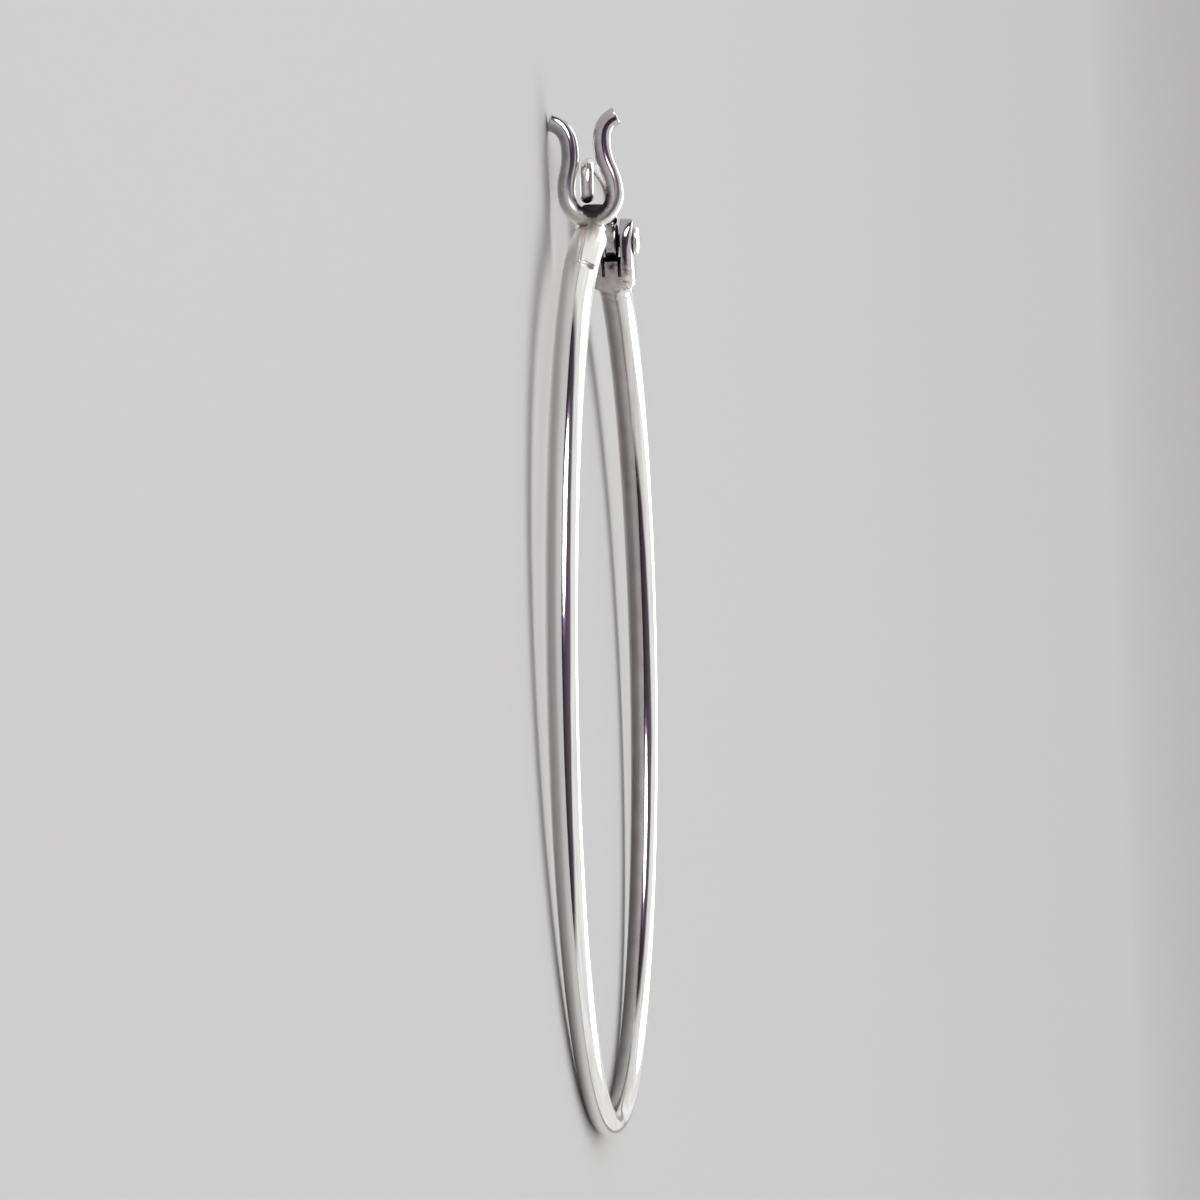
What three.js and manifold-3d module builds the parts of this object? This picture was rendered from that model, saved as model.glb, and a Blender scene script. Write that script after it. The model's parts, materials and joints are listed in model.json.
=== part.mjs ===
// Hoop earring of polished silver, lying on its side as it rests by itself.
//
// A round tube bent to an open hoop carries a lyre-shaped catch on one end and a forked hinge on the
// other, both soldered on, so hoop, catch and fork are one solid. The ear wire turns on a riveted pin
// in the fork, arches over the gap and comes down between the arms of the catch.
//
// The earring is laid out flat first, in millimetres: the hoop lies in the XY plane about its own
// centre, the clasp is at +Y, the catch is on the -X side and the hinge on the +X side. Angles along
// the hoop start at +Y and grow towards +X. The whole is then tipped until it rests on the lower arm
// of the catch and on the tube opposite, with the bottom centre of its bounding box at the origin.

import * as THREE from "three";
import { ConvexGeometry } from "three/addons/geometries/ConvexGeometry.js";
import { mergeVertices } from "three/addons/utils/BufferGeometryUtils.js";
import Module from "manifold-3d";

const wasm = await Module();
wasm.setup();

// Hoop
const hoopDia = 50; // over the tube, from side to side
const tubeDiaTop = 1.85; // at the two ends
const tubeDiaBottom = 1.4; // opposite the clasp
const tubeSides = 18;
const tubeSteps = 84;

// Catch, a bent strip of half-hard silver
const catchReach = 5.8; // from the hoop's middle to the middle of the strip
const catchSide = 0.28; // of the base, from the tube's middle line towards +Z
const catchDepth = 1.3; // width of the strip, along the ear wire
const catchThickness = 0.95;
const catchBellyWidth = 2.6; // between the strip's middle lines, at the belly
const catchNeckHeight = 3.85; // above the strip's middle line at the base
const catchTipHeight = 5.4;
const catchTipWidth = 3.65; // between the middle lines at the two tips
const catchTipRise = 20; // degrees above level at the tips
const catchLean = 5; // degrees, towards -Z
const catchSink = 0.18; // of the base into the tube, where it is soldered
const catchCorner = 0.28; // rounding of the strip's long edges
const catchSteps = 44;

// Foot of the catch, a flat strip soldered along the tube
const footLength = 5.2;
const footWidth = 0.92;
const footProud = 0.16; // above the tube
const footThickness = 0.42;
const footTurn = 32; // degrees about the tube, from its outer side towards +Z
const footStart = 0.5; // from the middle of the catch towards the hinge
const footSteps = 12;

// Hinge
const hingeReach = 8; // from the hoop's middle to the pin
const pinLift = 0.75; // of the pin's middle above the tube's outer side
const pinDia = 0.72;
const pinFit = 0.05; // clearance all round the pin
const knuckleDia = 2.5; // of the fork about the pin
const cheekThickness = 0.7;
const eyeDia = 2;
const eyeThickness = 0.7;
const eyeFit = 0.2; // clearance on each side of the eye and under it
const forkStem = 1.85; // from the pin to the tube's end, along X
const headDia = 1.7;
const headHeight = 0.32;
const headFit = 0.04;
const roundSides = 24;

// Ear wire
const wireDia = 0.7;
const archHeight = 3; // from the hoop's outermost line to the top of the wire
const wireBend = 1.1; // radius of the bend above the catch
const wireSides = 12;
const wireSteps = 48;
const tipFit = 0.36; // from the wire's tip to the floor of the catch
const neckFit = 0.05; // each side of the wire in the neck of the catch
const archReach = 0.6; // pull of the arch's handles, as a share of its span
const archRise = 0.85; // and of its height at the hinge

const radians = THREE.MathUtils.degToRad;

// Derived sizes
const tubeDiaSide = (tubeDiaTop + tubeDiaBottom) / 2;
const hoopRadius = (hoopDia - tubeDiaSide) / 2;
const catchEnd = -Math.asin((catchReach - catchDepth / 2) / hoopRadius);
const hingeEnd = Math.asin((hingeReach + forkStem) / hoopRadius);
const slotWidth = eyeThickness + 2 * eyeFit;
const forkWidth = slotWidth + 2 * cheekThickness;
const catchNeckWidth = wireDia + 2 * neckFit + catchThickness;
const lean = radians(catchLean);

// Radius of the tube at an angle along the hoop
function tubeRadius(angle) {
  const top = (1 + Math.cos(angle)) / 2;
  return THREE.MathUtils.lerp(tubeDiaBottom, tubeDiaTop, top) / 2;
}

// Height of the tube's outer side above the hoop's centre, at a distance from the middle
function outerHeight(reach) {
  const outer = hoopRadius + tubeRadius(Math.asin(reach / hoopRadius));
  return Math.sqrt(outer ** 2 - reach ** 2);
}

const catchBase = outerHeight(catchReach) - catchSink + catchThickness / 2; // of the middle line
const pinHeight = outerHeight(hingeReach) + pinLift;
const wireTop = outerHeight(0) + archHeight - wireDia / 2; // of the middle line

function solid(geometry) {
  const bare = geometry.clone();
  bare.deleteAttribute("normal");
  bare.deleteAttribute("uv");
  const merged = mergeVertices(bare, 1e-5);
  return new wasm.Manifold(new wasm.Mesh({
    numProp: 3,
    vertProperties: new Float32Array(merged.attributes.position.array),
    triVerts: new Uint32Array(merged.index.array),
  }));
}

function geometryOf(manifold) {
  const mesh = manifold.getMesh();
  const geometry = new THREE.BufferGeometry();
  geometry.setAttribute("position", new THREE.BufferAttribute(mesh.vertProperties, 3));
  geometry.setIndex(new THREE.BufferAttribute(mesh.triVerts, 1));
  geometry.computeVertexNormals();
  return geometry;
}

// Wraps a bar that was extruded along +Z round the hoop: x is out from the hoop's middle line and y
// is along its axis. The section may grow and shrink along the way.
function wrapRoundHoop(geometry, startAngle, scaleAt) {
  const position = geometry.attributes.position;
  for (let i = 0; i < position.count; i += 1) {
    const angle = startAngle + position.getZ(i) / hoopRadius;
    const scale = scaleAt(angle);
    const radius = hoopRadius + position.getX(i) * scale;
    position.setXYZ(
      i,
      radius * Math.sin(angle),
      radius * Math.cos(angle),
      position.getY(i) * scale,
    );
  }
  return geometry;
}

function roundSection(radius, sides) {
  const corners = Array.from({ length: sides }, (_, i) => {
    const turn = (2 * Math.PI * i) / sides;
    return new THREE.Vector2(radius * Math.cos(turn), radius * Math.sin(turn));
  });
  return new THREE.Shape(corners);
}

function bar(section, length, steps) {
  return new THREE.ExtrudeGeometry(section, { depth: length, steps, bevelEnabled: false });
}

function tube() {
  const length = (2 * Math.PI + catchEnd - hingeEnd) * hoopRadius;
  const straight = bar(roundSection(1, tubeSides), length, tubeSteps);
  return solid(wrapRoundHoop(straight, hingeEnd, tubeRadius));
}

// A round wire or a strip along a path, its section centred on the path
function sweep(section, path, steps) {
  return new THREE.ExtrudeGeometry(section, { extrudePath: path, steps, curveSegments: 2 });
}

function roundedRectangle(width, height, corner) {
  const x = width / 2;
  const y = height / 2;
  const shape = new THREE.Shape();
  shape.moveTo(corner - x, -y);
  shape.lineTo(x - corner, -y);
  shape.quadraticCurveTo(x, -y, x, corner - y);
  shape.lineTo(x, y - corner);
  shape.quadraticCurveTo(x, y, x - corner, y);
  shape.lineTo(corner - x, y);
  shape.quadraticCurveTo(-x, y, -x, y - corner);
  shape.lineTo(-x, corner - y);
  shape.quadraticCurveTo(-x, -y, corner - x, -y);
  return shape;
}

// Middle line of the catch: a half-round belly, arms that close in to a neck, and flared tips.
// It is drawn in its own YZ plane with the base at the origin.
function catchPath() {
  const belly = catchBellyWidth / 2;
  const neck = catchNeckWidth / 2;
  const tip = catchTipWidth / 2;
  const rise = radians(catchTipRise);
  const round = 0.5523 * belly; // handle that makes a quarter circle
  const arm = (catchNeckHeight - belly) / 2;
  const flare = (catchTipHeight - catchNeckHeight) / 2;
  const at = (side, z, y) => new THREE.Vector3(0, y, side * z);
  const path = new THREE.CurvePath();
  const half = (side) => [
    new THREE.CubicBezierCurve3(
      at(side, 0, 0), at(side, round, 0), at(side, belly, belly - round), at(side, belly, belly),
    ),
    new THREE.CubicBezierCurve3(
      at(side, belly, belly), at(side, belly, belly + arm),
      at(side, neck, catchNeckHeight - arm), at(side, neck, catchNeckHeight),
    ),
    new THREE.CubicBezierCurve3(
      at(side, neck, catchNeckHeight), at(side, neck, catchNeckHeight + flare),
      at(side, tip - flare * Math.cos(rise), catchTipHeight - flare * Math.sin(rise)),
      at(side, tip, catchTipHeight),
    ),
  ];
  for (const curve of half(-1).reverse()) {
    path.add(new THREE.CubicBezierCurve3(curve.v3, curve.v2, curve.v1, curve.v0));
  }
  half(1).forEach((curve) => path.add(curve));
  return path;
}

function catchArms() {
  const section = roundedRectangle(catchDepth, catchThickness, catchCorner);
  const strip = sweep(section, catchPath(), catchSteps);
  strip.rotateX(-lean);
  strip.translate(-catchReach, catchBase, catchSide);
  return solid(strip);
}

function catchFoot() {
  const turn = radians(footTurn);
  const start = -Math.asin((catchReach - footStart) / hoopRadius) - footLength / hoopRadius;
  const outer = tubeRadius(start) + footProud;
  const corner = (out, across) => new THREE.Vector2(
    out * Math.cos(turn) - across * Math.sin(turn),
    out * Math.sin(turn) + across * Math.cos(turn),
  );
  const section = new THREE.Shape([
    corner(outer - footThickness, -footWidth / 2),
    corner(outer, -footWidth / 2),
    corner(outer, footWidth / 2),
    corner(outer - footThickness, footWidth / 2),
  ]);
  return solid(wrapRoundHoop(bar(section, footLength, footSteps), start, () => 1));
}

// Round bar along Z through a point of the hoop's plane
function crossBar(radius, length, x, y) {
  const geometry = new THREE.CylinderGeometry(radius, radius, length, roundSides);
  geometry.rotateX(Math.PI / 2);
  geometry.translate(x, y, 0);
  return geometry;
}

function pointsOf(geometry) {
  const position = geometry.attributes.position;
  return Array.from({ length: position.count }, (_, i) => (
    new THREE.Vector3().fromBufferAttribute(position, i)
  ));
}

// The fork blends from the tube's end to the round knuckle about the pin
function fork() {
  const knuckle = crossBar(knuckleDia / 2, forkWidth, hingeReach, pinHeight);
  const section = roundSection(1, tubeSides);
  const collar = wrapRoundHoop(bar(section, cheekThickness, 1), hingeEnd, tubeRadius);
  const body = solid(new ConvexGeometry([...pointsOf(knuckle), ...pointsOf(collar)]));
  const slotFloor = pinHeight - eyeDia / 2 - eyeFit;
  const slotTop = pinHeight + knuckleDia;
  const slot = new THREE.BoxGeometry(4 * knuckleDia, slotTop - slotFloor, slotWidth);
  slot.translate(hingeReach, (slotTop + slotFloor) / 2, 0);
  return body.subtract(solid(slot));
}

function hoop() {
  const bore = crossBar(pinDia / 2 + pinFit, 2 * forkWidth, hingeReach, pinHeight);
  return tube().add(catchFoot()).add(catchArms()).add(fork()).subtract(solid(bore));
}

// Middle line of the ear wire, from its tip in the catch to the eye on the pin
function earWirePath() {
  const tipZ = catchSide - catchNeckHeight * Math.sin(lean);
  const tipY = catchBase + catchThickness / 2 + tipFit + wireDia / 2;
  const point = (x, y, z) => new THREE.Vector3(x, y, z);
  const tip = point(-catchReach, tipY, tipZ);
  const bendLow = point(-catchReach, wireTop - wireBend, tipZ);
  const bendHigh = point(wireBend - catchReach, wireTop, tipZ);
  const eye = point(hingeReach, pinHeight + eyeDia * 0.42, 0);
  const round = 0.5523 * wireBend; // handle that makes a quarter circle
  const span = eye.x - bendHigh.x;
  const height = wireTop - eye.y;
  const path = new THREE.CurvePath();
  path.add(new THREE.LineCurve3(tip, bendLow));
  path.add(new THREE.CubicBezierCurve3(
    bendLow, point(bendLow.x, bendLow.y + round, tipZ),
    point(bendHigh.x - round, bendHigh.y, tipZ), bendHigh,
  ));
  path.add(new THREE.CubicBezierCurve3(
    bendHigh, point(bendHigh.x + archReach * span, wireTop, tipZ),
    point(eye.x, eye.y + archRise * height, 0), eye,
  ));
  return path;
}

function earWire() {
  const path = earWirePath();
  const wire = sweep(roundSection(wireDia / 2, wireSides), path, wireSteps);
  const tip = new THREE.SphereGeometry(wireDia / 2, wireSides, 8);
  tip.translate(...path.getPoint(0));
  const eye = crossBar(eyeDia / 2, eyeThickness, hingeReach, pinHeight);
  const bore = crossBar(pinDia / 2 + pinFit, 2 * eyeThickness, hingeReach, pinHeight);
  return solid(wire).add(solid(tip)).add(solid(eye)).subtract(solid(bore));
}

// A rivet turned about its own axis, with a low domed head at each end
function hingePin() {
  const seat = forkWidth / 2 + headFit;
  const end = seat + headHeight;
  const half = [
    [pinDia / 2, seat],
    [headDia / 2, seat],
    [headDia / 2, seat + headHeight * 0.4],
    [headDia * 0.44, seat + headHeight * 0.7],
    [headDia * 0.3, seat + headHeight * 0.92],
    [0, end],
  ];
  const upper = half.map(([radius, height]) => new THREE.Vector2(radius, height));
  const lower = half.map(([radius, height]) => new THREE.Vector2(radius, -height)).reverse();
  const pin = new THREE.LatheGeometry([...lower, ...upper], roundSides);
  pin.rotateX(Math.PI / 2);
  pin.translate(hingeReach, pinHeight, 0);
  return solid(pin);
}

function piece(name, manifold, colour, roughness) {
  const material = new THREE.MeshStandardMaterial({ color: colour, roughness, metalness: 1 });
  const mesh = new THREE.Mesh(geometryOf(manifold), material);
  mesh.name = name;
  return mesh;
}

const pieces = [
  piece("hoop", hoop(), 0xd9d8d4, 0.06),
  piece("ear_wire", earWire(), 0xd4d3cf, 0.09),
  piece("hinge_pin", hingePin(), 0xcfcdc8, 0.14),
];

// The hoop tips about X until a point of the clasp and the tube opposite both touch the floor.
// Each point of the clasp needs its own angle for that, and the largest of them is the one that holds.
function restTilt() {
  const low = tubeRadius(Math.PI);
  const points = pieces.flatMap((mesh) => pointsOf(mesh.geometry));
  const tilts = points.filter((point) => point.y > hoopRadius).map((point) => {
    const reach = Math.hypot(point.y + hoopRadius, point.z);
    return Math.atan2(-point.z, point.y + hoopRadius) - Math.asin(low / reach);
  });
  return tilts.reduce((most, tilt) => Math.max(most, tilt), 0);
}

const earring = new THREE.Group();
pieces.forEach((mesh) => earring.add(mesh));
earring.rotation.x = restTilt();
earring.updateMatrixWorld(true);

const box = new THREE.Box3().setFromObject(earring, true);
const middle = box.getCenter(new THREE.Vector3());
const resting = new THREE.Group();
resting.position.set(-middle.x, -middle.y, -box.min.z);
resting.add(earring);
resting.updateMatrixWorld(true);

export default resting;
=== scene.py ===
# %% [markdown]
# # A silver hoop earring, lying on its side
# The real earring is a round silver tube, bent to an open hoop. A lyre-shaped catch is soldered on
# one end and a forked hinge on the other. A thin wire turns in the hinge, goes through the ear and
# snaps between the arms of the catch. Mirror-polished metal has hardly a colour of its own: what one
# sees is the room, bent round the tube. So this lesson spends its care on three things: surfaces that
# are smooth enough to mirror, small marks and stains that say "handled silver", and a studio worth
# mirroring.
#
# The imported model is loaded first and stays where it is. Each piece is then made again, much finer,
# in the same place.

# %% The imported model
import json
import math

import bmesh
import bpy
from mathutils import Matrix, Vector, noise

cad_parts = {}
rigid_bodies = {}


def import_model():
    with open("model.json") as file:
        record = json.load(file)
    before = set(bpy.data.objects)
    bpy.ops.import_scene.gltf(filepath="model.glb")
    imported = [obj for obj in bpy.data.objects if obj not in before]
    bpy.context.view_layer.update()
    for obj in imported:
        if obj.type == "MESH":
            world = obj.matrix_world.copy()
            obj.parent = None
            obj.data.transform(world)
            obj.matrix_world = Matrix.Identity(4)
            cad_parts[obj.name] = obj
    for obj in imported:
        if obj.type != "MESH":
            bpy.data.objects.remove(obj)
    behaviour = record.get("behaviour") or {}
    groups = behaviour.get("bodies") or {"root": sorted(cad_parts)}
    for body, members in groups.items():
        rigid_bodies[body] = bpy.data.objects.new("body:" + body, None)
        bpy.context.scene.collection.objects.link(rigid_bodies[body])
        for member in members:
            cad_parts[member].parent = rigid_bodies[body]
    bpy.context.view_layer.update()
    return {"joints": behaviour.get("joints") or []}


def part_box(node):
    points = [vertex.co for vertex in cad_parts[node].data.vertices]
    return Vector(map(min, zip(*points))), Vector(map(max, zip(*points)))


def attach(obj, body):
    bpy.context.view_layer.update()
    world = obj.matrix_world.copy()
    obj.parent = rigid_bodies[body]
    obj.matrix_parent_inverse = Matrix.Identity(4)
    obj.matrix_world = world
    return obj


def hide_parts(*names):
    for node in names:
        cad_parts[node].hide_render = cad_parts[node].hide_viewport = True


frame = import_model()

# %% [markdown]
# ## Sizes, and the way from the bench to the table
# The earring is easiest to draw as it lies on the maker's bench: the hoop's middle line in the XY
# plane about its own centre, the clasp at +Y, the catch at -X and the hinge at +X. Angles along the
# hoop start at +Y and grow towards +X. On the table it leans a little, on the lower arm of the catch
# and the tube opposite. That lean and the place are read from the hinge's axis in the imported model,
# so a new pack carries this script along.

# %% Sizes in metres
MM = 0.001
low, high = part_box("hoop")
hoop_dia = high.x - low.x
tube_dia_top = 1.85 * MM
tube_dia_bottom = 1.4 * MM
hoop_radius = (hoop_dia - (tube_dia_top + tube_dia_bottom) / 2) / 2

catch_reach = 5.8 * MM
catch_side = 0.28 * MM
catch_depth = 1.3 * MM
catch_thickness = 0.95 * MM
catch_belly_width = 2.6 * MM
catch_neck_height = 3.85 * MM
catch_tip_height = 5.4 * MM
catch_tip_width = 3.65 * MM
catch_tip_rise = math.radians(20)
catch_lean = math.radians(5)
catch_sink = 0.18 * MM

foot_length = 6.9 * MM
foot_width = 0.92 * MM
foot_proud = 0.16 * MM
foot_thickness = 0.42 * MM
foot_turn = math.radians(32)
foot_start = 0.5 * MM

hinge_reach = 8 * MM
pin_lift = 0.75 * MM
pin_dia = 0.72 * MM
pin_fit = 0.05 * MM
knuckle_dia = 2.5 * MM
cheek_thickness = 0.7 * MM
eye_dia = 2 * MM
eye_thickness = 0.7 * MM
eye_fit = 0.2 * MM
fork_stem = 1.85 * MM
head_dia = 1.7 * MM
head_height = 0.32 * MM
head_fit = 0.04 * MM

wire_dia = 0.7 * MM
arch_height = 3 * MM
wire_bend = 1.1 * MM
tip_fit = 0.36 * MM
neck_fit = 0.05 * MM
arch_reach = 0.6  # pull of the arch's handles, as a share of its span
arch_rise = 0.85  # and of its height at the hinge

catch_end = -math.asin((catch_reach - catch_depth / 2) / hoop_radius)
hinge_end = math.asin((hinge_reach + fork_stem) / hoop_radius)
slot_width = eye_thickness + 2 * eye_fit
fork_width = slot_width + 2 * cheek_thickness
catch_neck_width = wire_dia + 2 * neck_fit + catch_thickness


def tube_radius(angle):
    share = (1 + math.cos(angle)) / 2
    return (tube_dia_bottom + (tube_dia_top - tube_dia_bottom) * share) / 2


def outer_height(reach):
    outer = hoop_radius + tube_radius(math.asin(reach / hoop_radius))
    return math.sqrt(outer ** 2 - reach ** 2)


catch_base = outer_height(catch_reach) - catch_sink + catch_thickness / 2
pin_height = outer_height(hinge_reach) + pin_lift
slot_floor = pin_height - eye_dia / 2 - eye_fit
wire_top = outer_height(0) + arch_height - wire_dia / 2

# %% From the bench to the table
hinge = frame["joints"][0]
axis = Vector(hinge["axis"])
tilt = math.atan2(axis.y, -axis.z)
turn = Matrix.Rotation(tilt, 4, "X")
pin_on_bench = Vector((hinge_reach, pin_height, 0))
TABLE = Matrix.Translation(Vector(hinge["pos_m"]) - turn @ pin_on_bench) @ turn
hoop_centre = TABLE @ Vector((0, 0, 0))
print("lean", round(math.degrees(tilt), 3), "degrees, hoop centre at",
      [round(value / MM, 3) for value in hoop_centre], "mm")

# %% [markdown]
# ## The camera first
# The photograph looks at the hoop almost edge-on, from in front of the catch and a few degrees out of
# the hoop's plane, through a long lens. The clasp is at the top of the picture, so the camera lies on
# its side too. Its distance, angle and lens were worked out by setting a tube's outlines against the
# ones in the picture. The optical axis goes through the middle of the frame, so the lens isn't
# shifted: the camera simply aims a little past the hoop's centre.

# %% Camera
image_px = 1200
focal_px = 5798
centre_px = (606, 679)  # where the hoop's centre lies in the picture
camera_distance = 13.1 * hoop_radius
out_of_plane = math.radians(5.23)
camera_roll = math.radians(-0.97)

bench_eye = camera_distance * Vector((-math.cos(out_of_plane), 0, math.sin(out_of_plane)))
to_centre = -bench_eye.normalized()
bench_up = Vector((0, 1, 0))
bench_right = to_centre.cross(bench_up).normalized()
right = math.cos(camera_roll) * bench_right + math.sin(camera_roll) * bench_up
up = math.cos(camera_roll) * bench_up - math.sin(camera_roll) * bench_right
aim = (to_centre
       - (centre_px[0] - image_px / 2) / focal_px * right
       + (centre_px[1] - image_px / 2) / focal_px * up).normalized()
right = aim.cross(up).normalized()
up = right.cross(aim)
pose = Matrix((right, up, -aim)).transposed().to_4x4()
pose.translation = bench_eye

camera = bpy.data.objects.new("camera", bpy.data.cameras.new("camera"))
bpy.context.scene.collection.objects.link(camera)
camera.matrix_world = TABLE @ pose
camera.data.angle = 2 * math.atan(image_px / 2 / focal_px)
camera.data.clip_start = 0.01
bpy.context.scene.camera = camera
print("camera", [round(value, 4) for value in camera.matrix_world.translation],
      "view", round(math.degrees(camera.data.angle), 2), "degrees")

# %% [markdown]
# ## One small language for nodes
# Both the shapes (Geometry Nodes) and the finishes (shader nodes) are graphs. Written node by node
# they are hard to read, so two helpers turn them into formulas. `Num` wraps a socket, and each
# operator on it adds a Math node: `1 - mask * 0.4` is two nodes. `Graph.node` adds any other node
# from its type, its settings and what goes into its sockets.

# %% Num and Graph
class Num:
    """A number in a node graph. Each operator adds its Math node."""

    def __init__(self, graph, socket):
        self.graph = graph
        self.socket = socket

    def __add__(self, other):
        return self.graph.maths("ADD", self, other)

    def __radd__(self, other):
        return self.graph.maths("ADD", other, self)

    def __sub__(self, other):
        return self.graph.maths("SUBTRACT", self, other)

    def __rsub__(self, other):
        return self.graph.maths("SUBTRACT", other, self)

    def __mul__(self, other):
        return self.graph.maths("MULTIPLY", self, other)

    def __rmul__(self, other):
        return self.graph.maths("MULTIPLY", other, self)

    def __truediv__(self, other):
        return self.graph.maths("DIVIDE", self, other)

    def __rtruediv__(self, other):
        return self.graph.maths("DIVIDE", other, self)

    def __pow__(self, other):
        return self.graph.maths("POWER", self, other)


class Graph:
    """A node tree of either kind that is written in calls."""

    def __init__(self, tree):
        self.tree = tree

    def feed(self, target, value):
        if isinstance(value, Num):
            value = value.socket
        if isinstance(value, bpy.types.NodeSocket):
            self.tree.links.new(value, target)
        else:
            target.default_value = value

    def node(self, kind, settings=None, sockets=None):
        node = self.tree.nodes.new(kind)
        for name, value in (settings or {}).items():
            setattr(node, name, value)
        for key, value in (sockets or {}).items():
            self.feed(node.inputs[key], value)
        return node

    def maths(self, operation, *values, clamp=False):
        settings = {"operation": operation, "use_clamp": clamp}
        node = self.node("ShaderNodeMath", settings, dict(enumerate(values)))
        return Num(self, node.outputs[0])

    def clamp(self, value):
        return self.maths("ADD", value, 0, clamp=True)

    def sin(self, value):
        return self.maths("SINE", value)

    def cos(self, value):
        return self.maths("COSINE", value)

    def vector(self, x, y, z):
        return self.node("ShaderNodeCombineXYZ", {}, {"X": x, "Y": y, "Z": z}).outputs[0]


# %% [markdown]
# ## How a piece comes out of its graph
# A Geometry Nodes tree hangs on an object as a modifier, and its inputs are set by each socket's
# identifier. The evaluated result is then copied to a plain mesh, which is moved from the bench to
# the table. After that the modifier is gone: the piece is an ordinary mesh with its place in its
# points, which is what moves with the joint later.

# %% Shape graph and plain mesh
class Shape(Graph):
    """A Geometry Nodes tree with named inputs, which ends in Realize Instances and Set Material."""

    def __init__(self, name, **inputs):
        super().__init__(bpy.data.node_groups.new(name, "GeometryNodeTree"))
        face = self.tree.interface
        face.new_socket(name="Geometry", in_out="OUTPUT", socket_type="NodeSocketGeometry")
        face.new_socket(name="Geometry", in_out="INPUT", socket_type="NodeSocketGeometry")
        kinds = {"NUMBER": "NodeSocketFloat", "COUNT": "NodeSocketInt", "MATERIAL": "NodeSocketMaterial"}
        for label, kind in inputs.items():
            face.new_socket(name=label, in_out="INPUT", socket_type=kinds[kind])
        self.entry = self.tree.nodes.new("NodeGroupInput")

    def input(self, label):
        return Num(self, self.entry.outputs[label])

    def finish(self, geometry):
        smooth = self.node("GeometryNodeSetShadeSmooth", {}, {"Geometry": geometry})
        real = self.node("GeometryNodeRealizeInstances", {}, {"Geometry": smooth.outputs[0]})
        painted = self.node("GeometryNodeSetMaterial", {}, {
            "Geometry": real.outputs[0], "Material": self.input("material"),
        })
        self.node("NodeGroupOutput", {}, {0: painted.outputs[0]})


def plain_mesh(host, name):
    """The evaluated host as a new object with a plain mesh. The host and its modifiers go."""
    evaluated = host.evaluated_get(bpy.context.evaluated_depsgraph_get())
    mesh = bpy.data.meshes.new_from_object(evaluated)
    bpy.data.objects.remove(host)
    piece = bpy.data.objects.new(name, mesh)
    bpy.context.scene.collection.objects.link(piece)
    mesh.name = name
    return piece


def grow(name, shape, data, **values):
    """Hangs the shape's tree on the data, sets its named inputs and returns the plain result."""
    host = bpy.data.objects.new(name + "_host", data)
    bpy.context.scene.collection.objects.link(host)
    modifier = host.modifiers.new(name, "NODES")
    modifier.node_group = shape.tree
    labels = {item.name: item.identifier for item in shape.tree.interface.items_tree
              if item.in_out == "INPUT"}
    for label, value in values.items():
        modifier[labels[label]] = value
    return plain_mesh(host, name)


# %% [markdown]
# ## The finish: polished silver
# A mirror is a metallic surface with almost no roughness, but a perfect one looks like a drawing.
# Real polished silver gives itself away by small things. The reflections run in slightly wavy lines,
# since the tube was drawn and bent by hand. Fine strokes are left by the polishing wheel, and hair
# scratches and pinpricks by handling. All of these are height, so they go into one bump, and strokes
# and scratches also dull the mirror a little.
#
# The rest is colour and roughness. A brown tarnish lies round the solder and a thin grey film in the catch
# and the hinge, where the wheel can't reach. Black painted shade lies in the bottom of the catch and in the
# hinge's slot, where those hollows fall into shadow. The inside of the hoop is dull, and darker on its side
# towards the table, which is painted shade. Where the foot was filed by hand it is satin, with a creamy tint
# that is a painted reflection.
# A mask painted by hand could place them. Here each is a soft ball about a named point, broken up by
# noise, so that it follows when a size changes.
#
# Strokes and waves follow the hoop, so they are read in polar coordinates about the hoop's axis: one
# axis along the tube, one out from the centre, one across. Stretched along the tube, noise turns into
# lines.

# %% Where a point of the silver lies
def ring_coordinates(graph, place):
    """A place on the bench: as it is, its height, and along, out from and across the hoop."""
    bench = graph.node("ShaderNodeMapping", {"vector_type": "TEXTURE"}, {
        "Vector": place, "Location": TABLE.translation, "Rotation": TABLE.to_euler(),
    }).outputs[0]
    parts = graph.node("ShaderNodeSeparateXYZ", {}, {0: bench}).outputs
    x, y, z = (Num(graph, part) for part in parts)
    out = graph.maths("SQRT", x * x + y * y)
    along = graph.maths("ARCTAN2", x, y) * hoop_radius
    return bench, y, along, out, z


def spot(graph, bench, centre, reach):
    """1 at a point of the bench, falling to 0 at a distance from it."""
    away = graph.node("ShaderNodeVectorMath", {"operation": "DISTANCE"}, {0: bench, 1: centre}).outputs[1]
    return graph.clamp(1 - Num(graph, away) / reach)


def texture(graph, vector, size, detail=2.0, rough=0.5):
    """Noise whose features are about this many metres across."""
    noisy = graph.node("ShaderNodeTexNoise", {}, {
        "Vector": vector, "Scale": 1 / size, "Detail": detail, "Roughness": rough,
    })
    return Num(graph, noisy.outputs[0])


def blend(graph, factor, first, second):
    """One colour or the other, or something between. Each is a plain colour or a socket."""
    sockets = {"Factor": factor}
    for key, value in (("A", first), ("B", second)):
        sockets[key] = (*value, 1) if isinstance(value, tuple) else value
    return graph.node("ShaderNodeMix", {"data_type": "RGBA"}, sockets).outputs["Result"]


def highest(graph, bench, spots):
    """The strongest of several spots, each a centre, a reach and a strength."""
    strongest = None
    for centre, reach, strength in spots:
        patch = spot(graph, bench, centre, reach) * strength
        strongest = patch if strongest is None else graph.maths("MAXIMUM", strongest, patch)
    return strongest


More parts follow.
